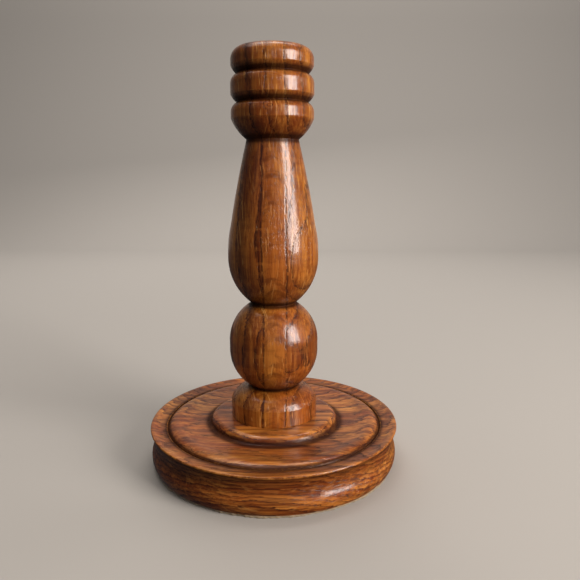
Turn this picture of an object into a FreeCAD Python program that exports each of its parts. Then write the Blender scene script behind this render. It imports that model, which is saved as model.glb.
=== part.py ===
"""Turned oak candlestick: stem, base, candle cup, screw and baize, all on one upright axis."""
import FreeCAD, Part
import os
import Sketcher

# The origin is the centre of the resting face. +Z runs up the turning axis. Sizes are in millimetres.
SIZES = [
    ("felt_thickness", 1.2, "baize disc under the base"),
    ("felt_margin", 0.8, "how far the baize stops short of the wood's edge"),
    ("board_thickness", 23.6, "base, from its underside to the boss that the stem stands on"),
    ("base_foot_radius", 67.0, "base, underside edge"),
    ("base_swell", 1.0, "how far the rounded side stands out from its chord"),
    ("base_swell_height", 8.6, "height of the rounded side"),
    ("base_turn_radius", 67.5, "where the rounded side turns into the hollow under the lip"),
    ("lip_hollow_height", 10.4, "height of the hollow under the lip"),
    ("lip_hollow", 1.2, "how deep the hollow under the lip is"),
    ("lip_radius", 68.2, "underside of the lip, and the crest's outer edge"),
    ("lip_height", 1.4, "thickness of the lip's rounded edge"),
    ("lip_round", 0.35, "how far the lip's edge stands out from its chord"),
    ("lip_crest", 1.4, "width of the lip's crest"),
    ("lip_slope_drop", 1.2, "fall of the top from the crest to the quirk"),
    ("lip_slope_hollow", 0.4, "how hollow that slope is"),
    ("quirk_radius", 59.2, "centre of the V-shaped quirk"),
    ("quirk_half_width", 0.55, "half the width of the quirk"),
    ("quirk_depth", 0.9, "depth of the quirk"),
    ("ring_crest_radius", 53.0, "highest place of the moulded ring"),
    ("ring_rise", 1.7, "rise of the moulded ring above the quirk's edge"),
    ("ring_round", 0.6, "how full the outer side of the moulded ring is"),
    ("ring_hollow", 0.4, "how hollow the inner slope of the moulded ring is"),
    ("valley_radius", 38.8, "outer edge of the cove at the foot of the boss"),
    ("boss_cove_width", 3.4, "width of that cove"),
    ("boss_cove_rise", 0.9, "rise of that cove towards the boss"),
    ("boss_cove_hollow", 0.4, "how hollow that cove is"),
    ("boss_radius", 31.6, "flat top of the boss"),
    ("boss_height", 4.1, "height of the boss above the outer edge of its cove"),
    ("boss_round", 0.7, "how full the boss's edge is"),
    ("foot_radius", 23.8, "stem, upright side of its foot"),
    ("foot_side", 9.0, "stem, height of the foot's upright side"),
    ("foot_shoulder", 7.7, "stem, height of the foot's rounded shoulder"),
    ("foot_shoulder_round", 2.2, "how full that shoulder is"),
    ("foot_neck_radius", 12.0, "crease between foot and ball"),
    ("ball_radius", 24.2, "ball, at its belt"),
    ("ball_height", 47.0, "ball, crease to crease"),
    ("ball_belt", 5.0, "upright stretch round the ball's middle"),
    ("ball_neck_radius", 11.9, "crease between ball and pear"),
    ("pear_radius", 24.2, "pear, at its widest"),
    ("pear_belly", 24.5, "pear, height from crease to widest place"),
    ("pear_belt", 3.0, "pear, upright stretch at its widest"),
    ("pear_swell_radius", 22.6, "pear, where the swell runs out into the flank"),
    ("pear_swell", 14.0, "pear, height of the swell above the widest place"),
    ("pear_flank", 44.5, "pear, height of its nearly straight flank"),
    ("pear_flank_round", 0.45, "how full the flank is"),
    ("neck_radius", 13.6, "crease between pear and collar"),
    ("collar_radius", 21.45, "collar, upright side of its two lower beads"),
    ("top_bead_radius", 21.15, "collar, upright side of its top bead"),
    ("cup_bead_under", 10.3, "height of the lowest bead's rounded underside"),
    ("cup_bead_round", 0.9, "how full that underside is"),
    ("cup_bead_side", 3.1, "upright side of the lowest bead"),
    ("bead_side", 5.2, "upright side of the middle bead"),
    ("top_bead_side", 2.9, "upright side of the top bead"),
    ("bead_under", 3.9, "height of a bead's bevelled underside"),
    ("bead_under_round", 0.3, "how full a bead's underside is"),
    ("bead_shoulder", 4.8, "height of a bead's rounded shoulder"),
    ("bead_shoulder_round", 0.9, "how full a bead's shoulder is"),
    ("bead_groove_depth", 3.3, "depth of the grooves between the beads"),
    ("top_shoulder", 5.9, "height of the collar's rounded top edge"),
    ("top_shoulder_width", 4.3, "how far the rounded top edge turns in"),
    ("candle_radius", 11.0, "inside of the candle cup, for a 22 mm candle"),
    ("cup_depth", 24.5, "depth of the candle cup"),
    ("cup_wall", 0.5, "brass sheet of the candle cup"),
    ("cup_flange_width", 1.8, "flange of the cup that lies on the wood"),
    ("cup_clearance", 0.05, "gap round the cup in its socket"),
    ("tenon_radius", 11.0, "tenon under the stem"),
    ("tenon_length", 14.0, "length of the tenon"),
    ("tenon_chamfer", 1.0, "chamfer on the tenon's end"),
    ("glue_gap", 0.05, "gap round the tenon"),
    ("glue_well", 1.0, "room for glue under the tenon"),
    ("screw_shank_radius", 2.1, "wood screw, plain shank and outside of its thread"),
    ("screw_core_radius", 1.4, "wood screw, core between the threads"),
    ("screw_head_radius", 4.1, "wood screw, countersunk head"),
    ("screw_head_rim", 0.4, "wood screw, upright rim of the head"),
    ("screw_head_cone", 2.2, "wood screw, cone under the head"),
    ("screw_shank_length", 10.0, "wood screw, plain shank"),
    ("screw_thread_length", 24.0, "wood screw, thread as far as its point"),
    ("screw_point_length", 3.5, "wood screw, point"),
    ("screw_pitch", 2.0, "wood screw, pitch of the thread"),
    ("screw_thread_base", 1.3, "wood screw, width of the thread where it leaves the core"),
    ("screw_thread_root", 0.15, "wood screw, how far the thread is rooted in the core"),
    ("screw_thread_crest", 0.25, "wood screw, width of the thread's crest"),
    ("screw_slot_width", 1.2, "wood screw, slot in its head"),
    ("screw_slot_depth", 1.1, "wood screw, depth of that slot"),
    ("screw_sink", 0.8, "how deep the head sits in the base"),
    ("screw_clearance", 0.1, "gap round the screw's shank, head and thread"),
]

doc = FreeCAD.newDocument("candlestick")
sheet = doc.addObject("Spreadsheet::Sheet", "sizes")
for row, (alias, value, meaning) in enumerate(SIZES, start=1):
    sheet.set(f"A{row}", alias)
    sheet.set(f"B{row}", str(value))
    sheet.set(f"C{row}", meaning)
    sheet.setAlias(f"B{row}", alias)
doc.recompute()


LINE = ("line", None)


def size(alias):
    """The expression that reads one driving dimension."""
    return f"sizes.{alias}"


def add(*terms):
    """The expression for a sum of expressions."""
    return "(" + " + ".join(terms) + ")"


def take(whole, *terms):
    """The expression for one expression less some others."""
    return "(" + " - ".join((whole,) + terms) + ")"


def number(expression):
    """An expression's value, as a plain number."""
    result = sheet.evalExpression(expression)
    return float(getattr(result, "Value", result))


def new_body(label):
    """An empty body, whose label is its node's name."""
    body = doc.addObject("PartDesign::Body", label)
    body.Label = label
    return body


def origin_plane(body, role):
    """One of the body's own origin planes."""
    return next(plane for plane in body.Origin.OriginFeatures if plane.Role == role)


def new_sketch(body, name, role):
    """A sketch on one of the body's own origin planes."""
    sketch = body.newObject("Sketcher::SketchObject", name)
    sketch.AttachmentSupport = [(origin_plane(body, role), "")]
    sketch.MapMode = "FlatFace"
    return sketch


def hold(sketch, name, constraint, expression):
    """Add a named dimension and bind it to an expression."""
    index = sketch.addConstraint(constraint)
    sketch.renameConstraint(index, name)
    sketch.setExpression(f"Constraints.{name}", expression)


def half_section(body, name, corners):
    """A closed half-section beside the axis, for turning.

    Each corner is (radius, height, run): two expressions, "0" for the axis, and how the outline goes
    on to the next corner. A run is LINE, ("round", expression) or ("hollow", expression) for an arc
    that stands out of the piece or sinks into it by that much, or ("upright", which) for a round arc
    that is upright at its "start" or its "end". The outline goes anticlockwise.
    """
    sketch = new_sketch(body, name, "XZ_Plane")
    points = [FreeCAD.Vector(number(r), number(z), 0) for r, z, run in corners]
    ends = []
    for i, (radius, height, run) in enumerate(corners):
        start = points[i]
        finish = points[(i + 1) % len(points)]
        if run == LINE:
            edge = Part.LineSegment(start, finish)
        else:
            edge = Part.Arc(start, arc_middle(start, finish, run), finish)
        index = sketch.addGeometry(edge, False)
        if (sketch.getPoint(index, 1) - start).Length < (sketch.getPoint(index, 2) - start).Length:
            ends.append((index, 1, 2))
        else:
            ends.append((index, 2, 1))
    for i, (radius, height, run) in enumerate(corners):
        index, first, last = ends[i]
        following, following_first, following_last = ends[(i + 1) % len(ends)]
        sketch.addConstraint(Sketcher.Constraint("Coincident", index, last, following, following_first))
        if radius == "0":
            sketch.addConstraint(Sketcher.Constraint("PointOnObject", index, first, -2))
        else:
            value = number(radius)
            hold(sketch, f"r{i}", Sketcher.Constraint("DistanceX", -1, 1, index, first, value), radius)
        if height == "0":
            sketch.addConstraint(Sketcher.Constraint("PointOnObject", index, first, -1))
        else:
            value = number(height)
            hold(sketch, f"z{i}", Sketcher.Constraint("DistanceY", -1, 1, index, first, value), height)
        if run == LINE:
            continue
        next_radius, next_height, next_run = corners[(i + 1) % len(corners)]
        if run[0] in ("round", "hollow"):
            chord = f"(({take(next_radius, radius)})^2 + ({take(next_height, height)})^2)"
            arc_radius = f"({chord} / 4 + {run[1]}^2) / (2 * {run[1]})"
            value = number(arc_radius)
            hold(sketch, f"arc{i}", Sketcher.Constraint("Radius", index, value), arc_radius)
        else:
            level = height if run[1] == "start" else next_height
            value = number(level)
            hold(sketch, f"centre{i}", Sketcher.Constraint("DistanceY", -1, 1, index, 3, value), level)
    return sketch


def arc_middle(start, finish, run):
    """A point on the arc between two corners, from the way the arc is described."""
    chord = finish - start
    right = FreeCAD.Vector(chord.y, -chord.x, 0).normalize()
    if run[0] == "round":
        return (start + finish) / 2 + right * number(run[1])
    if run[0] == "hollow":
        return (start + finish) / 2 - right * number(run[1])
    upright, other = (start, finish) if run[1] == "start" else (finish, start)
    inward = upright.x - other.x
    rise = other.y - upright.y
    radius = (inward ** 2 + rise ** 2) / (2 * inward)
    centre = FreeCAD.Vector(upright.x - radius, upright.y, 0)
    return centre + ((start + finish) / 2 - centre).normalize() * radius


def centred_rectangle(sketch, half_length, half_width):
    """A rectangle about the sketch's origin, from the expressions for its half-sizes."""
    across = number(half_length)
    along = number(half_width)
    signs = [(-1, -1), (1, -1), (1, 1), (-1, 1)]
    points = [FreeCAD.Vector(across * x, along * y, 0) for x, y in signs]
    for i in range(4):
        sketch.addGeometry(Part.LineSegment(points[i], points[(i + 1) % 4]), False)
    for i, (x, y) in enumerate(signs):
        sketch.addConstraint(Sketcher.Constraint("Coincident", i, 2, (i + 1) % 4, 1))
        reach = Sketcher.Constraint("DistanceX", -1, 1, i, 1, across * x)
        hold(sketch, f"x{i}", reach, f"{x} * {half_length}")
        reach = Sketcher.Constraint("DistanceY", -1, 1, i, 1, along * y)
        hold(sketch, f"y{i}", reach, f"{y} * {half_width}")


def turn(body, kind, name, sketch):
    """Turn a half-section about the upright axis, to add wood or to bore it out."""
    feature = body.newObject(f"PartDesign::{kind}", name)
    feature.Profile = sketch
    feature.ReferenceAxis = (sketch, ["V_Axis"])
    feature.Angle = 360
    body.Tip = feature
    return feature


# Heights, from the resting face up.
BASE_UNDER = size("felt_thickness")
BASE_TURN = add(BASE_UNDER, size("base_swell_height"))
LIP_UNDER = add(BASE_TURN, size("lip_hollow_height"))
LIP_TOP = add(LIP_UNDER, size("lip_height"))
QUIRK_EDGE = take(LIP_TOP, size("lip_slope_drop"))
BOSS_TOP = add(BASE_UNDER, size("board_thickness"))
VALLEY = take(BOSS_TOP, size("boss_height"))
FOOT_ARRIS = add(BOSS_TOP, size("foot_side"))
FOOT_NECK = add(FOOT_ARRIS, size("foot_shoulder"))
BALL_MIDDLE = add(FOOT_NECK, size("ball_height") + " / 2")
BALL_NECK = add(FOOT_NECK, size("ball_height"))
PEAR_WIDEST = add(BALL_NECK, size("pear_belly"))
PEAR_SWELL = add(PEAR_WIDEST, size("pear_belt"), size("pear_swell"))
NECK = add(PEAR_SWELL, size("pear_flank"))
CUP_BEAD = add(NECK, size("cup_bead_under"))
LOW_GROOVE = add(CUP_BEAD, size("cup_bead_side"), size("bead_shoulder"))
MIDDLE_BEAD = add(LOW_GROOVE, size("bead_under"))
HIGH_GROOVE = add(MIDDLE_BEAD, size("bead_side"), size("bead_shoulder"))
TOP_BEAD = add(HIGH_GROOVE, size("bead_under"))
TOP_EDGE = add(TOP_BEAD, size("top_bead_side"))
STEM_TOP = add(TOP_EDGE, size("top_shoulder"))
TENON_END = take(BOSS_TOP, size("tenon_length"))
MORTISE_FLOOR = take(TENON_END, size("glue_well"))
SCREW_HEAD = add(BASE_UNDER, size("screw_sink"))
SCREW_CONE_TOP = add(SCREW_HEAD, size("screw_head_rim"), size("screw_head_cone"))
SCREW_THREAD = add(SCREW_CONE_TOP, size("screw_shank_length"))
SCREW_POINT = add(SCREW_THREAD, size("screw_thread_length"))
SCREW_TIP = add(SCREW_POINT, size("screw_point_length"))
CUP_FLANGE_TOP = add(STEM_TOP, size("cup_wall"))
CUP_FLOOR = take(CUP_FLANGE_TOP, size("cup_depth"))
CUP_UNDER = take(CUP_FLOOR, size("cup_wall"))

# Radii that follow from others.
GROOVE_RADIUS = take(size("collar_radius"), size("bead_groove_depth"))
CUP_OUTSIDE = add(size("candle_radius"), size("cup_wall"))
SCREW_HOLE = add(size("screw_shank_radius"), size("screw_clearance"))


def make_stem():
    """Stem: foot, ball, pear and collar in one turning, with a tenon below and a socket above."""
    body = new_body("stem")
    ball_low = take(BALL_MIDDLE, size("ball_belt") + " / 2")
    ball_high = add(BALL_MIDDLE, size("ball_belt") + " / 2")
    cup_side = add(CUP_BEAD, size("cup_bead_side"))
    middle_side = add(MIDDLE_BEAD, size("bead_side"))
    under = ("round", size("bead_under_round"))
    shoulder = ("round", size("bead_shoulder_round"))
    collar = size("collar_radius")
    corners = [
        ("0", TENON_END, LINE),
        (take(size("tenon_radius"), size("tenon_chamfer")), TENON_END, LINE),
        (size("tenon_radius"), add(TENON_END, size("tenon_chamfer")), LINE),
        (size("tenon_radius"), BOSS_TOP, LINE),
        (size("foot_radius"), BOSS_TOP, LINE),
        (size("foot_radius"), FOOT_ARRIS, ("round", size("foot_shoulder_round"))),
        (size("foot_neck_radius"), FOOT_NECK, ("upright", "end")),
        (size("ball_radius"), ball_low, LINE),
        (size("ball_radius"), ball_high, ("upright", "start")),
        (size("ball_neck_radius"), BALL_NECK, ("upright", "end")),
        (size("pear_radius"), PEAR_WIDEST, LINE),
        (size("pear_radius"), add(PEAR_WIDEST, size("pear_belt")), ("upright", "start")),
        (size("pear_swell_radius"), PEAR_SWELL, ("round", size("pear_flank_round"))),
        (size("neck_radius"), NECK, ("round", size("cup_bead_round"))),
        (collar, CUP_BEAD, LINE),
        (collar, cup_side, shoulder),
        (GROOVE_RADIUS, LOW_GROOVE, under),
        (collar, MIDDLE_BEAD, LINE),
        (collar, middle_side, shoulder),
        (GROOVE_RADIUS, HIGH_GROOVE, under),
        (size("top_bead_radius"), TOP_BEAD, LINE),
        (size("top_bead_radius"), TOP_EDGE, ("upright", "start")),
        (take(size("top_bead_radius"), size("top_shoulder_width")), STEM_TOP, LINE),
        ("0", STEM_TOP, LINE),
    ]
    turn(body, "Revolution", "turned_stem", half_section(body, "stem_outline", corners))
    socket_radius = add(CUP_OUTSIDE, size("cup_clearance"))
    socket_floor = take(CUP_UNDER, size("cup_clearance"))
    socket = [
        ("0", socket_floor, LINE),
        (socket_radius, socket_floor, LINE),
        (socket_radius, STEM_TOP, LINE),
        ("0", STEM_TOP, LINE),
    ]
    turn(body, "Groove", "candle_socket", half_section(body, "socket_outline", socket))
    pilot_end = add(SCREW_TIP, size("screw_clearance"))
    pilot = [
        ("0", TENON_END, LINE),
        (SCREW_HOLE, TENON_END, LINE),
        (SCREW_HOLE, SCREW_POINT, LINE),
        ("0", pilot_end, LINE),
    ]
    turn(body, "Groove", "pilot_hole", half_section(body, "pilot_outline", pilot))
    return body


def make_base():
    """Base: a disc with a rounded side, a lip, a quirk, a moulded ring and a boss, bored for the stem."""
    body = new_body("base")
    lip_crest = take(size("lip_radius"), size("lip_crest"))
    quirk_outer = add(size("quirk_radius"), size("quirk_half_width"))
    quirk_inner = take(size("quirk_radius"), size("quirk_half_width"))
    cove_radius = take(size("valley_radius"), size("boss_cove_width"))
    corners = [
        ("0", BASE_UNDER, LINE),
        (size("base_foot_radius"), BASE_UNDER, ("round", size("base_swell"))),
        (size("base_turn_radius"), BASE_TURN, ("hollow", size("lip_hollow"))),
        (size("lip_radius"), LIP_UNDER, ("round", size("lip_round"))),
        (size("lip_radius"), LIP_TOP, LINE),
        (lip_crest, LIP_TOP, ("hollow", size("lip_slope_hollow"))),
        (quirk_outer, QUIRK_EDGE, LINE),
        (size("quirk_radius"), take(QUIRK_EDGE, size("quirk_depth")), LINE),
        (quirk_inner, QUIRK_EDGE, ("round", size("ring_round"))),
        (size("ring_crest_radius"), add(QUIRK_EDGE, size("ring_rise")), ("hollow", size("ring_hollow"))),
        (size("valley_radius"), VALLEY, ("hollow", size("boss_cove_hollow"))),
        (cove_radius, add(VALLEY, size("boss_cove_rise")), ("round", size("boss_round"))),
        (size("boss_radius"), BOSS_TOP, LINE),
        ("0", BOSS_TOP, LINE),
    ]
    turn(body, "Revolution", "turned_base", half_section(body, "base_outline", corners))
    mortise_radius = add(size("tenon_radius"), size("glue_gap"))
    mortise = [
        ("0", MORTISE_FLOOR, LINE),
        (mortise_radius, MORTISE_FLOOR, LINE),
        (mortise_radius, BOSS_TOP, LINE),
        ("0", BOSS_TOP, LINE),
    ]
    turn(body, "Groove", "mortise", half_section(body, "mortise_outline", mortise))
    head_hole = add(size("screw_head_radius"), size("screw_clearance"))
    cone_start = add(SCREW_HEAD, size("screw_head_rim"))
    screw_hole = [
        ("0", BASE_UNDER, LINE),
        (head_hole, BASE_UNDER, LINE),
        (head_hole, cone_start, LINE),
        (SCREW_HOLE, SCREW_CONE_TOP, LINE),
        (SCREW_HOLE, MORTISE_FLOOR, LINE),
        ("0", MORTISE_FLOOR, LINE),
    ]
    turn(body, "Groove", "screw_hole", half_section(body, "screw_hole_outline", screw_hole))
    return body


def make_candle_cup():
    """Candle cup: spun brass, with a flat floor and a flange that lies on the stem's top."""
    body = new_body("candle_cup")
    flange_radius = add(CUP_OUTSIDE, size("cup_flange_width"))
    corners = [
        ("0", CUP_UNDER, LINE),
        (CUP_OUTSIDE, CUP_UNDER, LINE),
        (CUP_OUTSIDE, STEM_TOP, LINE),
        (flange_radius, STEM_TOP, LINE),
        (flange_radius, CUP_FLANGE_TOP, LINE),
        (size("candle_radius"), CUP_FLANGE_TOP, LINE),
        (size("candle_radius"), CUP_FLOOR, LINE),
        ("0", CUP_FLOOR, LINE),
    ]
    turn(body, "Revolution", "spun_cup", half_section(body, "cup_outline", corners))
    return body


def make_base_screw():
    """Screw: a countersunk steel wood screw, driven up through the base into the tenon."""
    body = new_body("base_screw")
    corners = [
        ("0", SCREW_HEAD, LINE),
        (size("screw_head_radius"), SCREW_HEAD, LINE),
        (size("screw_head_radius"), add(SCREW_HEAD, size("screw_head_rim")), LINE),
        (size("screw_shank_radius"), SCREW_CONE_TOP, LINE),
        (size("screw_shank_radius"), SCREW_THREAD, LINE),
        (size("screw_core_radius"), SCREW_THREAD, LINE),
        (size("screw_core_radius"), SCREW_POINT, LINE),
        ("0", SCREW_TIP, LINE),
    ]
    turn(body, "Revolution", "screw_blank", half_section(body, "screw_outline", corners))
    doc.recompute()

    middle = add(SCREW_THREAD, size("screw_pitch") + " / 2")
    root = take(size("screw_core_radius"), size("screw_thread_root"))
    root_half = size("screw_thread_base") + " / 2"
    crest_half = size("screw_thread_crest") + " / 2"
    section = [
        (root, take(middle, root_half), LINE),
        (size("screw_shank_radius"), take(middle, crest_half), LINE),
        (size("screw_shank_radius"), add(middle, crest_half), LINE),
        (root, add(middle, root_half), LINE),
    ]
    sketch = half_section(body, "thread_section", section)
    thread = body.newObject("PartDesign::AdditiveHelix", "thread")
    thread.Profile = sketch
    thread.ReferenceAxis = (sketch, ["V_Axis"])
    thread.Mode = "pitch-height-angle"
    thread.setExpression("Pitch", size("screw_pitch"))
    thread.setExpression("Height", take(size("screw_thread_length"), size("screw_pitch")))
    body.Tip = thread
    doc.recompute()

    outline = new_sketch(body, "slot_outline", "XY_Plane")
    outline.setExpression("AttachmentOffset.Base.z", SCREW_HEAD)
    centred_rectangle(outline, size("screw_head_radius"), size("screw_slot_width") + " / 2")
    slot = body.newObject("PartDesign::Pocket", "driving_slot")
    slot.Profile = outline
    slot.Reversed = True
    slot.setExpression("Length", size("screw_slot_depth"))
    body.Tip = slot
    return body


def make_felt_pad():
    """Baize: a thin disc glued under the base, over the screw's head."""
    body = new_body("felt_pad")
    sketch = new_sketch(body, "felt_outline", "XY_Plane")
    radius = take(size("base_foot_radius"), size("felt_margin"))
    edge = Part.Circle(FreeCAD.Vector(), FreeCAD.Vector(0, 0, 1), number(radius))
    circle = sketch.addGeometry(edge, False)
    sketch.addConstraint(Sketcher.Constraint("Coincident", circle, 3, -1, 1))
    hold(sketch, "radius", Sketcher.Constraint("Radius", circle, number(radius)), radius)
    pad = body.newObject("PartDesign::Pad", "felt_disc")
    pad.Profile = sketch
    pad.setExpression("Length", size("felt_thickness"))
    body.Tip = pad
    return body


bodies = [make_stem(), make_base(), make_candle_cup(), make_base_screw(), make_felt_pad()]
doc.recompute()

for thing in doc.Objects:
    if "Invalid" in thing.State or "Error" in thing.State:
        raise RuntimeError(f"{thing.Name} did not build: {thing.State}")
for body in bodies:
    if body.Shape.isNull() or not body.Shape.isValid() or not body.Shape.Solids:
        raise RuntimeError(f"{body.Label} is not a valid solid")

os.makedirs("parts", exist_ok=True)
for body in bodies:
    body.Shape.exportStep(f"parts/{body.Label}.step")
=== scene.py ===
"""A turned oak candlestick: base, stem, screw, baize and candle cup, in the order of assembly."""
import math

import bpy
import numpy as np
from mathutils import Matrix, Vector


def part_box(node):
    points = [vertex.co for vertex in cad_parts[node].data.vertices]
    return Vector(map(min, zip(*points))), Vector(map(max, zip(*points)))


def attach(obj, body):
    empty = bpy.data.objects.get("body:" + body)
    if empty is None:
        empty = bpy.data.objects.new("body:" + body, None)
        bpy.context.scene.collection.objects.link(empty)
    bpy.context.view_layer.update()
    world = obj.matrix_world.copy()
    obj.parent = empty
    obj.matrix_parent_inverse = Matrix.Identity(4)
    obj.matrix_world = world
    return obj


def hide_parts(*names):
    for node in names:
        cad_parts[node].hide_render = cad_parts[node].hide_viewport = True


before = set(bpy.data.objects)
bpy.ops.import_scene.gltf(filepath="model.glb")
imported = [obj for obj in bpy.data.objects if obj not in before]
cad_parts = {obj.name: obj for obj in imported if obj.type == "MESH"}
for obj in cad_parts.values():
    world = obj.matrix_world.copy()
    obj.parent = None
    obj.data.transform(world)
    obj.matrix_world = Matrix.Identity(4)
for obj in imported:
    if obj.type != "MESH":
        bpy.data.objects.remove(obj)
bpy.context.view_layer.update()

# ---------------------------------------------------------------------------------------------------
# Base. An oak disc turned from a flat-sawn board, with its grain along X: rounded side, lip, quirk,
# moulded ring and boss. It is bored for the stem's tenon, and countersunk beneath for the screw.

MM = 0.001
STEP = 0.1


def arc_run(start, finish, stand_out):
    """Points STEP apart along an arc of a circle between two corners, less its last one.

    The arc stands out to the right of its direction by stand_out at its middle, so its radius is half
    the chord squared plus the stand-out squared, over twice the stand-out. With none it is straight.
    """
    chord = finish - start
    length = np.hypot(*chord)
    share = np.linspace(0, 1, max(3, int(length / STEP)), endpoint=False)[:, None]
    if stand_out == 0:
        return start + share * chord
    radius = (length ** 2 / 4 + stand_out ** 2) / (2 * stand_out)
    ahead = chord / length
    right = np.array([ahead[1], -ahead[0]])
    centre = (start + finish) / 2 + right * (stand_out - radius)
    angle = 2 * math.atan(2 * stand_out / length) * (2 * share - 1)
    return centre + radius * (np.cos(angle) * right + np.sin(angle) * ahead)


def outline(corners, to_axis):
    """Points round a half-section, in millimetres, from its corners in anticlockwise order.

    Each corner is (radius, height, stand_out): how far the run to the next corner stands out of the
    piece, 0 where it is straight and below 0 where it is hollow. An outline that starts and ends on the
    axis is closed by its mirror image, so that it can be eased all the way round.
    """
    places = np.array([corner[:2] for corner in corners], float)
    count = len(corners) - 1 if to_axis else len(corners)
    runs = [arc_run(places[i], places[(i + 1) % len(places)], corners[i][2]) for i in range(count)]
    points = np.concatenate(runs)
    if to_axis:
        points = np.vstack([points, places[-1:], points[:0:-1] * (-1, 1)])
    return points


def bell_mean(values, width):
    """Each value round a closed outline becomes the mean of its neighbours, weighed by a bell curve."""
    count = len(values)
    offset = np.arange(count)
    offset = np.minimum(offset, count - offset) * STEP
    bell = np.exp(-0.5 * (offset / width) ** 2)
    spectrum = np.fft.fft(bell / bell.sum())
    return np.fft.ifft(np.fft.fft(values, axis=0) * spectrum[:, None], axis=0).real


SHARPEST_BEND = 2
HOLLOW_WIDTH = 1.5


def profile(corners, to_axis, softness, count):
    """The outline as a turner leaves it, in count points: its arrises eased, its points where it turns.

    The outline is resampled at even steps and eased by a bell curve as wide as softness. How sharply it
    turns is the angle between its neighbouring steps over their length. Points are then spaced evenly in
    length times one plus five times that bend. Returns radius, height, outward normal, bend and how deep
    in a hollow each point lies, one row a point.
    """
    ring = outline(corners, to_axis)
    ring = np.vstack([ring, ring[:1]])
    length = np.concatenate([[0], np.cumsum(np.hypot(*np.diff(ring, axis=0).T))])
    total = 2 * int(length[-1] / STEP / 2)
    even = np.linspace(0, length[-1], total, endpoint=False)
    places = np.column_stack([np.interp(even, length, ring[:, 0]), np.interp(even, length, ring[:, 1])])
    places = bell_mean(places, softness)
    ahead = np.roll(places, -1, axis=0) - places
    behind = places - np.roll(places, 1, axis=0)
    across = behind[:, 0] * ahead[:, 1] - behind[:, 1] * ahead[:, 0]
    bend = np.arctan2(across, (behind * ahead).sum(1)) / STEP
    hollow = bell_mean(np.clip(-bend, 0, SHARPEST_BEND)[:, None], HOLLOW_WIDTH)[:, 0]
    tangent = ahead + behind
    tangent /= np.hypot(*tangent.T)[:, None]
    table = np.column_stack([places, tangent[:, 1], -tangent[:, 0], bend, hollow])
    if to_axis:
        table = table[: total // 2 + 1]
        table[[0, -1], 0] = 0
    else:
        table = np.vstack([table, table[:1]])
    crowding = 1 + 5 * np.clip(np.abs(table[1:, 4]), 0, SHARPEST_BEND)
    stretch = np.hypot(*np.diff(table[:, :2], axis=0).T) * crowding
    measure = np.concatenate([[0], np.cumsum(stretch)])
    chosen = np.linspace(0, measure[-1], count, endpoint=to_axis)
    return np.column_stack([np.interp(chosen, measure, column) for column in table.T])


FULL_ARRIS = 1.5
FULL_HOLLOW = 0.45


def turned_piece(name, table, around, marks=()):
    """A closed surface of revolution from a profile, as a new object.

    The point at angle a on a profile row is (r cos a, r sin a, z). Each mark is (angle, radius, height,
    depth, size) of a dent, and moves the surface inwards by depth times a bell curve of the distance
    from it over size. A row on the axis becomes one pole. The attribute 'arris' is how round the surface
    is, from 0 to 1. A second attribute, from 0 to 1, is how hollow the surface is or how far it faces
    down: the material paints shade there, darker in hollows and on undersides.
    """
    angle = np.arange(around) * 2 * math.pi / around
    turn = np.stack([np.cos(angle), np.sin(angle)], axis=-1)
    radius, height, out, up, bend, hollow = table.T
    grid = np.empty((len(table), around, 3))
    grid[..., :2] = radius[:, None, None] * turn
    grid[..., 2] = height[:, None]
    normal = np.empty_like(grid)
    normal[..., :2] = out[:, None, None] * turn
    normal[..., 2] = up[:, None]
    sink = np.zeros(grid.shape[:2])
    for degrees, at_radius, at_height, depth, size in marks:
        bearing = math.radians(degrees)
        place = (at_radius * math.cos(bearing), at_radius * math.sin(bearing), at_height)
        distance = ((grid - place) ** 2).sum(-1)
        sink += depth * np.exp(-distance / (2 * size ** 2))
    grid -= normal * sink[..., None]
    rows = np.arange(len(table) * around).reshape(len(table), around)
    poles = radius[0] == 0
    upper = rows[:-1] if poles else rows
    lower = rows[1:] if poles else np.roll(rows, -1, axis=0)
    quads = np.stack([upper, np.roll(upper, -1, axis=1), np.roll(lower, -1, axis=1), lower], axis=-1)
    keep = np.ones(rows.size, bool)
    if poles:
        keep[1:around] = False
        keep[-around + 1:] = False
        quads[0, :, :2] = 0
        quads[-1, :, 2:] = rows[-1, 0]
    number = np.cumsum(keep) - 1
    quads = number[quads]
    faces = quads[1:-1].reshape(-1, 4) if poles else quads.reshape(-1, 4)
    caps = np.empty((0, 3), int)
    if poles:
        caps = np.vstack([quads[0][:, [0, 2, 3]], quads[-1][:, [0, 1, 2]]])
    corners = np.concatenate([faces.ravel(), caps.ravel()])
    starts = np.concatenate([np.arange(len(faces)) * 4, len(faces) * 4 + np.arange(len(caps)) * 3])
    mesh = bpy.data.meshes.new(name)
    mesh.vertices.add(keep.sum())
    mesh.vertices.foreach_set("co", (grid.reshape(-1, 3)[keep] * MM).ravel())
    mesh.loops.add(len(corners))
    mesh.loops.foreach_set("vertex_index", corners.astype(np.int32))
    mesh.polygons.add(len(starts))
    mesh.polygons.foreach_set("loop_start", starts.astype(np.int32))
    mesh.update(calc_edges=True)
    mesh.shade_smooth()
    # Painted shade: the second attribute marks hollows and surfaces that face down, which the material
    # darkens as if shade fell there.
    facing_down = np.clip(-up - 0.25, 0, 1)
    for attribute, values in (("arris", bend / FULL_ARRIS),
                              ("painted_shade", hollow / FULL_HOLLOW + facing_down * 0.6)):
        layer = mesh.attributes.new(attribute, "FLOAT", "POINT")
        spread = np.repeat(np.clip(values, 0, 1), around)[keep]
        layer.data.foreach_set("value", spread.astype(np.float32))
    piece = bpy.data.objects.new(name, mesh)
    bpy.context.scene.collection.objects.link(piece)
    return piece


def node(tree, kind, feeds=None, **settings):
    """One shader node, with its properties set and its inputs fed by number or by name."""
    made = tree.nodes.new("ShaderNode" + kind)
    for setting, value in settings.items():
        setattr(made, setting, value)
    for socket, feed in (feeds or {}).items():
        if isinstance(feed, bpy.types.NodeSocket):
            tree.links.new(feed, made.inputs[socket])
        else:
            made.inputs[socket].default_value = feed
    return made


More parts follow.
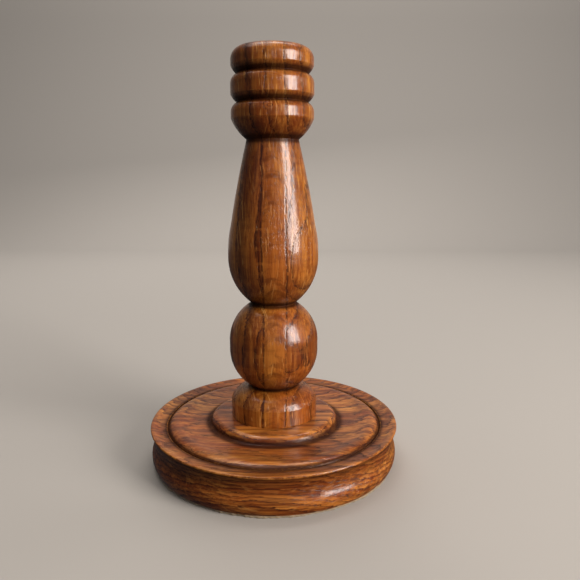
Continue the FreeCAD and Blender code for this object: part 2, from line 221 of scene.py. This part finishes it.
def reckon(tree, operation, *values):
    """The result of one Math node."""
    return node(tree, "Math", dict(enumerate(values)), operation=operation).outputs[0]


def stretched(tree, place, scale):
    """A place in millimetres, scaled along each axis: small scales draw a pattern out."""
    return node(tree, "VectorMath", {0: place, 1: scale}, operation="MULTIPLY").outputs[0]


def grain_noise(tree, place, scale, detail=2.0, roughness=0.5):
    """Noise from 0 to 1 with one scale along each axis."""
    feeds = {"Vector": stretched(tree, place, scale), "Scale": 1.0, "Detail": detail,
             "Roughness": roughness}
    return node(tree, "TexNoise", feeds).outputs["Fac"]


def between(tree, value, low, high):
    """0 below low, 1 above high, and a smooth ramp in between. Low may be the larger of the two."""
    feeds = {0: value, 1: low, 2: high, 3: 0.0, 4: 1.0}
    return node(tree, "MapRange", feeds, interpolation_type="SMOOTHSTEP").outputs[0]


def mixed(tree, share, first, second, blend="MIX"):
    """Two colours mixed by a share."""
    feeds = {0: share, 6: first, 7: second}
    return node(tree, "Mix", feeds, data_type="RGBA", blend_type=blend).outputs[2]


def tone(red, green, blue):
    """A colour from its red, green and blue as a screen shows them, from 0 to 255."""
    screen = (red, green, blue)
    linear = [((c / 255 + 0.055) / 1.055) ** 2.4 if c > 10 else c / 255 / 12.92 for c in screen]
    return (*linear, 1.0)


TO_MM = (1 / MM, 1 / MM, 1 / MM)


def blank_material(name):
    """A new material and its node tree, emptied."""
    material = bpy.data.materials.new(name)
    material.use_nodes = True
    material.node_tree.nodes.clear()
    return material, material.node_tree


def flat_cut(tree, place, from_pith, pith, slow, sway, left, right, top):
    """Where turning has cut one ring flat on the front: its lane, the rows beside it and its arches.

    The lane runs from left to right and up to top. A dashed row of vessels follows each of its sides.
    An arch is noise along the grain whose height falls with the square of the way across.
    """
    wander = reckon(tree, "MULTIPLY_ADD", sway, 3.0, reckon(tree, "ADD", from_pith[0], pith[0] - 1.5))
    front = reckon(tree, "MULTIPLY", between(tree, from_pith[1], -pith[1] - 3.0, -pith[1] - 9.0),
                   between(tree, from_pith[2], top, top - 4.0))
    lane = reckon(tree, "MULTIPLY", between(tree, wander, left, left + 1.2),
                  between(tree, wander, right, right - 1.2))
    lane = reckon(tree, "MULTIPLY", lane, front)
    rows = 0.0
    for edge in (left, right):
        off = reckon(tree, "ABSOLUTE", reckon(tree, "SUBTRACT", wander, edge))
        rows = reckon(tree, "MAXIMUM", between(tree, off, 0.75, 0.25), rows)
    dashes = between(tree, grain_noise(tree, place, (0.5, 0.5, 0.3)), 0.42, 0.52)
    rows = reckon(tree, "MULTIPLY", reckon(tree, "MULTIPLY", rows, dashes), front)
    aside = reckon(tree, "SUBTRACT", wander, (left + right) / 2)
    fall = reckon(tree, "MULTIPLY_ADD", reckon(tree, "MULTIPLY", aside, aside), 0.09, from_pith[2])
    arch = node(tree, "CombineXYZ", {0: reckon(tree, "MULTIPLY", wander, 0.05),
                                     1: reckon(tree, "MULTIPLY", slow, 2.0),
                                     2: reckon(tree, "MULTIPLY", fall, 0.21)}).outputs[0]
    arches = node(tree, "TexNoise", {"Vector": arch, "Scale": 1.0, "Detail": 4.0, "Distortion": 0.3})
    return lane, rows, between(tree, arches.outputs["Fac"], 0.49, 0.6)


def varnished_oak(name, turn, pith, squeeze, layer, ring_width, lean, contrast, streaky, fleck,
                  tones, swirls, wavy=0.0, flat_ring=None):
    """Oak under satin varnish, as a solid pattern that runs right through the piece.

    turn sets the grain upright in the pattern's own frame, pith is where the middle of the tree lies in
    it, in millimetres, squeeze flattens its rings into ovals, and lean is how far a growth ring wanders
    across per millimetre along the grain. layer flattens the streaks and fibres: at 1 they are round.
    A ring is dark and porous where it starts and pale after, by contrast. Its number is the distance
    from the pith over ring_width, bent by slow noise. Rays are thin sheets that point at the pith, as
    strong as fleck. Streaks are noise drawn out along the grain, as strong as streaky, and bands as
    strong as wavy lie across it. Each swirl is (x, y, z, across, along, reach) in the pattern's frame: a
    bell curve that bends the rings round a spot. flat_ring is (left, right, top) of a ring cut flat.
    tones are the pale wood, the wood between, the dark wood, the stain in pores, which is also the
    colour of the painted shade in hollows and on undersides, and the rays.
    """
    material, tree = blank_material(name)
    place = node(tree, "TexCoord").outputs["Object"]
    place = node(tree, "Mapping", {"Vector": place, "Rotation": turn, "Scale": TO_MM}).outputs[0]

    from_pith = node(tree, "VectorMath", {0: place, 1: (*pith, 0)}, operation="SUBTRACT").outputs[0]
    flat = stretched(tree, from_pith, (1, squeeze, 0))
    distance = node(tree, "VectorMath", {0: flat}, operation="LENGTH").outputs["Value"]
    apart = node(tree, "SeparateXYZ", {0: from_pith})
    bearing = reckon(tree, "ARCTAN2", apart.outputs[1], apart.outputs[0])

    slow = grain_noise(tree, place, (0.03, 0.03, 0.009), 1)
    sway = grain_noise(tree, place, (0.11, 0.11, 0.03), 2)
    ripple = grain_noise(tree, place, (0.16, 0.16, 0.17), 2)
    splinter = grain_noise(tree, place, (1.3, 1.3, 0.035), 2)
    drift = reckon(tree, "MULTIPLY", apart.outputs[2], lean)
    radius = reckon(tree, "ADD", distance, drift)
    for noise, reach in ((slow, 9.0), (sway, 3.4), (ripple, 1.1), (splinter, 1.7)):
        radius = reckon(tree, "MULTIPLY_ADD", noise, reach, radius)
    for *spot, across, along, reach in swirls:
        away = node(tree, "VectorMath", {0: place, 1: spot}, operation="SUBTRACT").outputs[0]
        away = stretched(tree, away, (1 / across, 1 / across, 1 / along))
        square = node(tree, "VectorMath", {0: away, 1: away}, operation="DOT_PRODUCT").outputs["Value"]
        bell = reckon(tree, "EXPONENT", reckon(tree, "MULTIPLY", square, -0.5))
        radius = reckon(tree, "MULTIPLY_ADD", bell, reach, radius)
    ring = reckon(tree, "DIVIDE", radius, ring_width)
    year = reckon(tree, "FLOOR", ring)
    season = reckon(tree, "FRACT", ring)
    year_tone = node(tree, "TexWhiteNoise", {"W": year}, noise_dimensions="1D").outputs["Value"]

    onset = between(tree, season, 0.0, 0.1)
    fade = between(tree, season, 0.62, 0.12)
    porous = reckon(tree, "MULTIPLY", onset, fade)
    vessels = grain_noise(tree, place, (1.5, 1.5, 0.2), 2)
    fine_vessels = grain_noise(tree, place, (3.4, 3.4, 0.16), 1)
    fibres = grain_noise(tree, place, (0.9, 0.9 * layer, 0.02), 4, 0.65)
    broad = grain_noise(tree, place, (0.07, 0.07, 0.012), 2)
    early = reckon(tree, "MULTIPLY", between(tree, season, 0.0, 0.03), between(tree, season, 0.24, 0.1))
    open_pore = reckon(tree, "MULTIPLY", between(tree, vessels, 0.44, 0.54), early)
    stray_pore = reckon(tree, "MULTIPLY", between(tree, fine_vessels, 0.58, 0.7), 0.55)
    calm = 1.0
    if flat_ring:
        lane, rows, arches = flat_cut(tree, place, apart.outputs, pith, slow, sway, *flat_ring)
        calm = reckon(tree, "MULTIPLY_ADD", lane, -0.9, 1.0)
    pores = reckon(tree, "MAXIMUM", reckon(tree, "MULTIPLY", open_pore, calm), stray_pore)
    if flat_ring:
        pores = reckon(tree, "MAXIMUM", pores, rows)

    sheet = node(tree, "CombineXYZ", {0: reckon(tree, "MULTIPLY", bearing, 75.0),
                                      1: reckon(tree, "MULTIPLY", distance, 0.07),
                                      2: reckon(tree, "MULTIPLY", apart.outputs[2], 0.11)}).outputs[0]
    ray_noise = node(tree, "TexNoise", {"Vector": sheet, "Scale": 1.0, "Detail": 1.0}).outputs["Fac"]
    rays = reckon(tree, "MULTIPLY", between(tree, ray_noise, 0.63, 0.7), fleck)

    pale, middle, dark, stain_and_shade, ray = (tone(*t) for t in tones)
    depth = reckon(tree, "MULTIPLY_ADD", year_tone, 0.2, reckon(tree, "MULTIPLY", fibres, 0.9))
    colour = mixed(tree, between(tree, depth, 0.34, 0.74), pale, middle)
    streaks = grain_noise(tree, place, (0.6, 0.6 * layer, 0.012), 3, 0.65)
    streaked = reckon(tree, "MULTIPLY", between(tree, streaks, 0.46, 0.6), streaky)
    colour = mixed(tree, reckon(tree, "MULTIPLY", streaked, calm), colour, dark)
    band = reckon(tree, "MULTIPLY", porous, reckon(tree, "MULTIPLY_ADD", year_tone, 0.4, contrast))
    colour = mixed(tree, reckon(tree, "MULTIPLY", band, calm), colour, dark)
    if flat_ring:
        colour = mixed(tree, reckon(tree, "MULTIPLY", lane, 0.28), colour, pale)
        arched = reckon(tree, "MULTIPLY", arches, reckon(tree, "MULTIPLY", lane, 0.42))
        colour = mixed(tree, arched, colour, dark)
    colour = mixed(tree, rays, colour, ray)
    colour = mixed(tree, reckon(tree, "MULTIPLY", pores, 0.66), colour, stain_and_shade)
    if wavy:
        curl = grain_noise(tree, place, (0.07, 0.07, 0.26), 3, 0.6)
        for low, high, band_tone in ((0.5, 0.62, dark), (0.45, 0.36, pale)):
            curled = reckon(tree, "MULTIPLY", between(tree, curl, low, high), wavy)
            colour = mixed(tree, curled, colour, band_tone)
    clouds = between(tree, broad, 0.35, 0.65)
    clouded = reckon(tree, "MULTIPLY", clouds, 0.6)
    colour = mixed(tree, clouded, colour, tone(200, 144, 94), "MULTIPLY")
    # Painted shade: hollows and surfaces that face down are darkened towards the pore stain colour, as
    # if shade fell there; there the varnish is also made rougher and thinner.
    painted_shade = node(tree, "Attribute", attribute_name="painted_shade").outputs["Fac"]
    arris = node(tree, "Attribute", attribute_name="arris").outputs["Fac"]
    shade_share = reckon(tree, "MULTIPLY", between(tree, painted_shade, 0.0, 0.5), 0.85)
    colour = mixed(tree, shade_share, colour, stain_and_shade)
    scuffs = grain_noise(tree, place, (0.5, 0.5, 0.5), 4, 0.7)
    rubbed = reckon(tree, "MULTIPLY", between(tree, arris, 0.15, 0.8), between(tree, scuffs, 0.42, 0.68))
    colour = mixed(tree, reckon(tree, "MULTIPLY", rubbed, 0.5), colour, pale)

    smudge = grain_noise(tree, place, (0.07, 0.07, 0.05), 3, 0.6)
    sheen = reckon(tree, "MULTIPLY_ADD", smudge, 0.16, 0.34)
    sheen = reckon(tree, "MULTIPLY_ADD", pores, 0.2, sheen)
    sheen = reckon(tree, "MULTIPLY_ADD", rubbed, 0.15, sheen)
    sheen = reckon(tree, "MULTIPLY_ADD", shade_share, 0.25, sheen)
    coat = reckon(tree, "MULTIPLY_ADD", shade_share, -0.8, 0.8)
    grain_height = reckon(tree, "MULTIPLY_ADD", pores, -1.0, reckon(tree, "MULTIPLY", fibres, 0.3))
    grain_height = reckon(tree, "MULTIPLY_ADD", porous, -0.25, grain_height)
    bump = node(tree, "Bump", {"Height": grain_height, "Strength": 0.35, "Distance": 0.00012})
    peel = grain_noise(tree, place, (0.45, 0.45, 0.3), 4, 0.6)
    film = reckon(tree, "MULTIPLY_ADD", pores, -0.35, peel)
    coat_bump = node(tree, "Bump", {"Height": film, "Strength": 0.5, "Distance": 0.00016,
                                    "Normal": bump.outputs[0]})
    surface = node(tree, "BsdfPrincipled", {
        "Base Color": colour, "Roughness": sheen, "Normal": bump.outputs[0],
        "Coat Normal": coat_bump.outputs[0], "Coat Weight": coat, "Coat Roughness": 0.16,
        "Coat IOR": 1.65, "Specular IOR Level": 0.12})
    node(tree, "OutputMaterial", {0: surface.outputs[0]})
    return material


base_low, base_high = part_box("base")
base_under = base_low.z / MM
boss_top = base_high.z / MM
turn_height = base_under + 8.6
lip_under = turn_height + 10.4
lip_top = lip_under + 1.4
lip_radius = 68.2
quirk_edge = lip_top - 1.2
quirk_radius = 59.2
valley = boss_top - 4.1
mortise_radius = 11.05
mortise_floor = boss_top - 15.0
screw_hole = 2.2
head_hole = 4.2
head_floor = base_under + 1.2
cone_top = base_under + 3.4
BASE_CORNERS = [
    (head_hole, base_under, 0),
    (67.0, base_under, 1.0),
    (67.5, turn_height, -1.2),
    (lip_radius, lip_under, 0.35),
    (lip_radius, lip_top, 0),
    (lip_radius - 1.4, lip_top, -0.4),
    (quirk_radius + 0.55, quirk_edge, 0),
    (quirk_radius, quirk_edge - 0.9, 0),
    (quirk_radius - 0.55, quirk_edge, 0.6),
    (53.0, quirk_edge + 1.7, -0.4),
    (38.8, valley, -0.4),
    (35.4, valley + 0.9, 0.7),
    (31.6, boss_top, 0),
    (mortise_radius, boss_top, 0),
    (mortise_radius, mortise_floor, 0),
    (screw_hole, mortise_floor, 0),
    (screw_hole, cone_top, 0),
    (head_hole, head_floor, 0),
]
BASE_DENTS = [
    (-52, 68.3, 7.0, 0.35, 0.8),
    (-47, 67.6, 3.2, 0.5, 0.9),
    (-61, 66.9, 2.2, 0.4, 0.7),
    (-38, 66.8, 2.0, 0.35, 0.8),
    (-71, 66.6, 1.6, 0.35, 0.6),
    (-80, 67.0, 2.6, 0.3, 0.7),
    (-44, 68.2, 19.8, 0.3, 0.6),
    (-20, 68.2, 20.2, 0.25, 0.7),
    (151, 68.2, 20.0, 0.3, 0.8),
    (100, 66.8, 2.0, 0.45, 0.9),
    (205, 67.0, 2.4, 0.35, 0.8),
]
ARRIS_EASE = 0.22
OAK_TONES = [(218, 140, 60), (154, 77, 20), (86, 31, 5), (38, 12, 3), (216, 148, 76)]

base = turned_piece("base_turned", profile(BASE_CORNERS, False, ARRIS_EASE, 300), 320, BASE_DENTS)
base.data.materials.append(varnished_oak(
    "base_oak_varnish", turn=(0, math.radians(90), 0), pith=(112.0, -22.0), squeeze=1.0, layer=0.4,
    ring_width=2.3, lean=0.02, contrast=0.36, streaky=0.58, fleck=0.35, tones=OAK_TONES,
    swirls=[(22.0, 6.0, 47.0, 4.0, 8.0, 2.6), (22.0, -15.0, 40.0, 4.5, 8.0, 2.4)]))
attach(base, "root")
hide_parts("base")

# ---------------------------------------------------------------------------------------------------
# Stem. One oak spindle with its grain upright: foot, ball, pear and a collar of three beads. Its tenon
# is glued into the base, and its top is bored for the candle cup.


def upright_bulge(inward, rise):
    """How far an arc stands out from its chord when one end is upright.

    The arc's radius is the two reaches squared and added, over twice the inward one.
    """
    radius = (inward ** 2 + rise ** 2) / (2 * inward)
    return radius - math.sqrt(radius ** 2 - (inward ** 2 + rise ** 2) / 4)


stem_low, stem_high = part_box("stem")
tenon_end = stem_low.z / MM
stem_top = stem_high.z / MM
tenon_radius = 11.0
foot_radius = 23.8
foot_arris = boss_top + 9.0
foot_neck = foot_arris + 7.7
ball_neck = foot_neck + 47.0
ball_middle = (foot_neck + ball_neck) / 2
ball_flat = 2.5
ball_rise = ball_middle - ball_flat - foot_neck
pear_rise = 24.5
pear_flat = 3.0
pear_shoulder = 14.0
pear_widest = ball_neck + pear_rise
pear_swell = pear_widest + pear_flat + pear_shoulder
neck = pear_swell + 44.5
cup_bead = neck + 10.3
cup_bead_flat = 3.1
middle_bead_flat = 5.2
bead_shoulder = 4.8
groove_rise = 3.9
low_groove = cup_bead + cup_bead_flat + bead_shoulder
middle_bead = low_groove + groove_rise
high_groove = middle_bead + middle_bead_flat + bead_shoulder
top_bead = high_groove + groove_rise
ball_radius = 24.2
foot_neck_radius = 12.0
neck_radius = 11.9
collar_radius = 21.45
groove_radius = collar_radius - 3.3
top_bead_radius = 21.15
rim_inward = 4.3
socket_radius = 11.55
socket_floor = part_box("candle_cup")[0].z / MM - 0.05
pilot_radius = 2.2
STEM_CORNERS = [
    (0, 42.2, 0),
    (pilot_radius, 38.6, 0),
    (pilot_radius, tenon_end, 0),
    (tenon_radius - 1.0, tenon_end, 0),
    (tenon_radius, tenon_end + 1.0, 0),
    (tenon_radius, boss_top, 0),
    (foot_radius, boss_top, 0),
    (foot_radius, foot_arris, 2.2),
    (foot_neck_radius, foot_neck, upright_bulge(ball_radius - foot_neck_radius, ball_rise)),
    (ball_radius, ball_middle - ball_flat, 0),
    (ball_radius, ball_middle + ball_flat, upright_bulge(ball_radius - neck_radius, ball_rise)),
    (neck_radius, ball_neck, upright_bulge(ball_radius - neck_radius, pear_rise)),
    (ball_radius, pear_widest, 0),
    (ball_radius, pear_widest + pear_flat, upright_bulge(1.6, pear_shoulder)),
    (22.6, pear_swell, 0.45),
    (13.6, neck, 0.9),
    (collar_radius, cup_bead, 0),
    (collar_radius, cup_bead + cup_bead_flat, 0.9),
    (groove_radius, low_groove, 0.3),
    (collar_radius, middle_bead, 0),
    (collar_radius, middle_bead + middle_bead_flat, 0.9),
    (groove_radius, high_groove, 0.3),
    (top_bead_radius, top_bead, 0),
    (top_bead_radius, top_bead + 2.9, upright_bulge(rim_inward, 5.9)),
    (top_bead_radius - rim_inward, stem_top, 0),
    (socket_radius, stem_top, 0),
    (socket_radius, socket_floor, 0),
    (0, socket_floor, 0),
]
STEM_DENTS = [
    (-70, 24.2, 118.0, 0.12, 0.6),
    (-35, 21.4, 200.5, 0.15, 0.5),
    (-110, 21.0, 214.0, 0.15, 0.6),
    (20, 23.8, 31.0, 0.2, 0.6),
    (160, 24.1, 70.0, 0.15, 0.7),
]
STEM_TONES = [(210, 134, 54), (143, 72, 17), (82, 28, 4), (36, 10, 2), (214, 150, 78)]

stem = turned_piece("stem_turned", profile(STEM_CORNERS, True, ARRIS_EASE, 480), 200, STEM_DENTS)
stem.data.materials.append(varnished_oak(
    "stem_oak_varnish", turn=(0, 0, 0), pith=(-26.0, 46.0), squeeze=0.35, layer=0.5,
    ring_width=6.6, lean=0.03, contrast=0.2, streaky=0.25, fleck=0.8, tones=STEM_TONES,
    swirls=[(-1.0, -21.5, 189.5, 1.6, 0.9, 9.0), (4.0, -24.0, 63.0, 7.0, 10.0, 13.0),
            (12.0, -18.0, 112.0, 6.0, 12.0, 9.0)],
    wavy=0.18, flat_ring=(-5.2, 7.2, 176.0)))
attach(stem, "root")
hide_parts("stem")

# ---------------------------------------------------------------------------------------------------
# Screw. A countersunk steel wood screw, zinc plated, driven up through the base into the tenon. Its
# node keeps its shape, with the thread and the slot that it was made with.


def zinc_plate(name):
    """Bright zinc over steel: fine scratches along noise, and dull patches."""
    material, tree = blank_material(name)
    place = stretched(tree, node(tree, "TexCoord").outputs["Object"], TO_MM)
    patches = grain_noise(tree, place, (0.7, 0.7, 0.5), 4, 0.65)
    scratches = grain_noise(tree, place, (9.0, 9.0, 1.2), 2)
    colour = mixed(tree, between(tree, patches, 0.4, 0.7), tone(200, 200, 192), tone(150, 146, 132))
    sheen = reckon(tree, "MULTIPLY_ADD", patches, 0.25, 0.2)
    bump = node(tree, "Bump", {"Height": scratches, "Strength": 0.3, "Distance": 0.00005})
    surface = node(tree, "BsdfPrincipled", {"Base Color": colour, "Roughness": sheen, "Metallic": 1.0,
                                            "Normal": bump.outputs[0]})
    node(tree, "OutputMaterial", {0: surface.outputs[0]})
    return material


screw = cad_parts["base_screw"]
screw.data.materials.clear()
screw.data.materials.append(zinc_plate("screw_zinc"))

# ---------------------------------------------------------------------------------------------------
# Baize. A disc of pale felted wool, cut by hand and glued under the base over the screw's head. Its cut
# edge is a little uneven and fuzzy.


def felt(name):
    """Felted wool: matted fibres in two sizes, with mottled colour and a soft sheen."""
    material, tree = blank_material(name)
    place = stretched(tree, node(tree, "TexCoord").outputs["Object"], TO_MM)
    matted = grain_noise(tree, place, (3.0, 3.0, 3.0), 6, 0.75)
    mottled = grain_noise(tree, place, (0.15, 0.15, 0.15), 3, 0.6)
    colour = mixed(tree, between(tree, matted, 0.35, 0.7), tone(134, 110, 82), tone(194, 168, 136))
    colour = mixed(tree, reckon(tree, "MULTIPLY", mottled, 0.4), colour, tone(146, 122, 94))
    bump = node(tree, "Bump", {"Height": matted, "Strength": 0.8, "Distance": 0.0003})
    surface = node(tree, "BsdfPrincipled", {"Base Color": colour, "Roughness": 0.95,
                                            "Sheen Weight": 0.4, "Sheen Roughness": 0.5,
                                            "Normal": bump.outputs[0]})
    node(tree, "OutputMaterial", {0: surface.outputs[0]})
    return material


felt_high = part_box("felt_pad")[1]
felt_radius = felt_high.x / MM + 1.3
felt_side = felt_radius - 0.15
felt_top = felt_high.z / MM
fuzz_depth = 0.8 * MM
FELT_CORNERS = [(0, 0, 0), (felt_side, 0, 0.2), (felt_side, felt_top, 0), (0, felt_top, 0)]


def fuzz_edge(piece, reach):
    """The disc's edge drawn in by waves of several lengths, which fade out towards its middle.

    Each wave is a sine of the angle times a whole number, with a fixed phase. Their sum less one, times
    reach, moves the edge, so no point goes outwards.
    """
    mesh = piece.data
    places = np.empty(len(mesh.vertices) * 3, np.float32)
    mesh.vertices.foreach_get("co", places)
    places = places.reshape(-1, 3)
    radius = np.hypot(places[:, 0], places[:, 1])
    angle = np.arctan2(places[:, 1], places[:, 0])
    wave = np.zeros(len(places))
    for count, phase, share in ((7, 0.4, 0.35), (23, 1.9, 0.25), (61, 0.8, 0.2), (137, 2.6, 0.2)):
        wave += share * np.sin(count * angle + phase)
    edge = radius.max()
    near_edge = np.clip((radius - edge * 0.93) / (edge * 0.07), 0, 1) ** 2
    places[:, :2] *= (1 + near_edge * (wave - 1) * reach / edge)[:, None]
    mesh.vertices.foreach_set("co", places.ravel())
    mesh.update()


felt_pad = turned_piece("baize_disc", profile(FELT_CORNERS, True, 0.12, 120), 480)
fuzz_edge(felt_pad, fuzz_depth)
felt_pad.data.materials.append(felt("baize_felt"))
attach(felt_pad, "root")
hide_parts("felt_pad")

# ---------------------------------------------------------------------------------------------------
# Candle cup. A thin brass cup, spun over a former, pushed into the socket so that its flange lies on
# the top of the stem.


def spun_brass(name):
    """Brass with faint rings from spinning and brown tarnish."""
    material, tree = blank_material(name)
    place = stretched(tree, node(tree, "TexCoord").outputs["Object"], TO_MM)
    flat = stretched(tree, place, (1, 1, 0))
    out = node(tree, "VectorMath", {0: flat}, operation="LENGTH").outputs["Value"]
    upright = node(tree, "SeparateXYZ", {0: place}).outputs[2]
    rings = node(tree, "CombineXYZ", {0: reckon(tree, "MULTIPLY", out, 4.0),
                                      1: reckon(tree, "MULTIPLY", upright, 4.0)}).outputs[0]
    ring_noise = node(tree, "TexNoise", {"Vector": rings, "Scale": 1.0, "Detail": 3.0}).outputs["Fac"]
    tarnish = grain_noise(tree, place, (0.25, 0.25, 0.25), 5, 0.65)
    aged = between(tree, tarnish, 0.42, 0.72)
    colour = mixed(tree, aged, tone(214, 176, 98), tone(146, 104, 48))
    sheen = reckon(tree, "MULTIPLY_ADD", aged, 0.25, 0.2)
    sheen = reckon(tree, "MULTIPLY_ADD", ring_noise, 0.1, sheen)
    bump = node(tree, "Bump", {"Height": ring_noise, "Strength": 0.25, "Distance": 0.00005})
    surface = node(tree, "BsdfPrincipled", {"Base Color": colour, "Roughness": sheen, "Metallic": 1.0,
                                            "Normal": bump.outputs[0]})
    node(tree, "OutputMaterial", {0: surface.outputs[0]})
    return material


cup_low, cup_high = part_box("candle_cup")
cup_under = cup_low.z / MM
flange_top = cup_high.z / MM
flange_radius = cup_high.x / MM
cup_radius = 11.0
cup_wall = 0.5
CUP_CORNERS = [
    (0, cup_under, 0),
    (cup_radius + cup_wall - 1.2, cup_under, 0.35),
    (cup_radius + cup_wall, cup_under + 1.2, 0),
    (cup_radius + cup_wall, stem_top, 0),
    (flange_radius, stem_top, 0.12),
    (flange_radius, flange_top, 0),
    (cup_radius + 0.4, flange_top, 0.1),
    (cup_radius, flange_top - 0.4, 0),
    (cup_radius, cup_under + cup_wall + 0.8, -0.25),
    (cup_radius - 0.8, cup_under + cup_wall, 0),
    (0, cup_under + cup_wall, 0),
]

cup = turned_piece("candle_cup_spun", profile(CUP_CORNERS, True, 0.08, 260), 160)
cup.data.materials.append(spun_brass("cup_brass_spun"))
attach(cup, "root")
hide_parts("candle_cup")

# ---------------------------------------------------------------------------------------------------
# Studio. A pale round floor and a wall behind. A tall window to the right of the front, a broad light
# in front, one behind, one overhead, one down the wall and a weak fill, and a camera looking down.


def area_light(name, place, target, width, height, power, colour):
    """A rectangular light at a place, turned to face a target."""
    data = bpy.data.lights.new(name, "AREA")
    data.shape = "RECTANGLE"
    data.size = width
    data.size_y = height
    data.energy = power
    data.color = colour
    light = bpy.data.objects.new(name, data)
    light.location = place
    light.rotation_euler = (Vector(target) - Vector(place)).to_track_quat("-Z", "Y").to_euler()
    bpy.context.scene.collection.objects.link(light)
    return light


def plain_backdrop(name, grid, mirrored):
    """A wide pale surface through a grid of points, with a quad between each four neighbours.

    It lights nothing by bounce, and shows in the varnish only if it is mirrored.
    """
    rows = np.arange(grid[..., 0].size).reshape(grid.shape[:2])
    quads = np.stack([rows[:-1, :-1], rows[1:, :-1], rows[1:, 1:], rows[:-1, 1:]], axis=-1)
    mesh = bpy.data.meshes.new(name)
    mesh.from_pydata(grid.reshape(-1, 3).tolist(), [], quads.reshape(-1, 4).tolist())
    mesh.shade_smooth()
    backdrop = bpy.data.objects.new(name, mesh)
    bpy.context.scene.collection.objects.link(backdrop)
    material = bpy.data.materials.new(name + "_paint")
    material.use_nodes = True
    surface = material.node_tree.nodes["Principled BSDF"]
    surface.inputs["Base Color"].default_value = tone(184, 177, 169)
    surface.inputs["Roughness"].default_value = 0.85
    mesh.materials.append(material)
    backdrop.visible_diffuse = False
    backdrop.visible_glossy = mirrored


sweep_radius = 0.6
backdrop_height = 3.0
floor_radius = 2.4
wall_distance = 0.9
wall_half_width = 2.2
wall_lift = 0.0002
rise = np.linspace(0, math.pi / 2, 24)
curve_out = np.append(sweep_radius * np.sin(rise), sweep_radius)
curve_up = np.append(sweep_radius - sweep_radius * np.cos(rise), backdrop_height)
bearing = np.linspace(0, 2 * math.pi, 97)
bowl_radius = np.insert(floor_radius + curve_out, 0, 0.02)
bowl_height = np.insert(curve_up, 0, 0)
floor_grid = np.stack([np.outer(bowl_radius, np.cos(bearing)), np.outer(bowl_radius, np.sin(bearing)),
                       np.repeat(bowl_height[:, None], len(bearing), 1)], axis=-1)
plain_backdrop("floor", floor_grid, False)
across, back = np.meshgrid([-wall_half_width, wall_half_width], wall_distance + curve_out)
wall_height = np.repeat(curve_up[:, None], 2, 1) + wall_lift
plain_backdrop("wall", np.stack([across, back, wall_height], axis=-1), True)

object_middle = (0, 0, (base_low.z + stem_high.z) / 2)
warm = (1.0, 0.96, 0.92)
room = area_light("room", (0.4, -1.4, 0.9), (0, 0, 0.1), 1.8, 1.4, 3.9, (1.0, 0.95, 0.9))
behind = area_light("behind", (-0.15, 0.95, 0.8), (0, 0, 0.12), 0.9, 0.7, 4.5, (1.0, 0.97, 0.94))
for broad_light in (room, behind):
    broad_light.visible_glossy = False
area_light("window", (0.88, -0.59, 0.46), (0, 0, 0.16), 0.54, 0.88, 17, warm)
area_light("ceiling", (-0.3, 0.2, 1.6), (0, 0, 0.1), 1.2, 1.2, 6, warm)
area_light("wall_wash", (0.2, 0.5, 1.7), (0, 1.6, 0.5), 1.5, 0.5, 11, (1.0, 0.97, 0.95))
area_light("fill", (-0.9, -0.9, 1.1), object_middle, 1.2, 1.2, 0.4, (0.95, 0.97, 1.0))

world = bpy.data.worlds.new("studio")
world.use_nodes = True
sky = world.node_tree.nodes["Background"]
sky.inputs["Color"].default_value = (0.9, 0.93, 1.0, 1)
sky.inputs["Strength"].default_value = 0.05
bpy.context.scene.world = world

look_down = 11.2
camera_data = bpy.data.cameras.new("camera")
camera_data.lens = 36.06
camera_data.sensor_width = 36
camera_data.clip_start = 0.01
camera = bpy.data.objects.new("camera", camera_data)
camera.location = (0.009, -0.3108, 0.1565)
camera.rotation_euler = (math.radians(90 - look_down), 0, 0)
bpy.context.scene.collection.objects.link(camera)
bpy.context.scene.camera = camera
bpy.context.scene.view_settings.view_transform = "Standard"
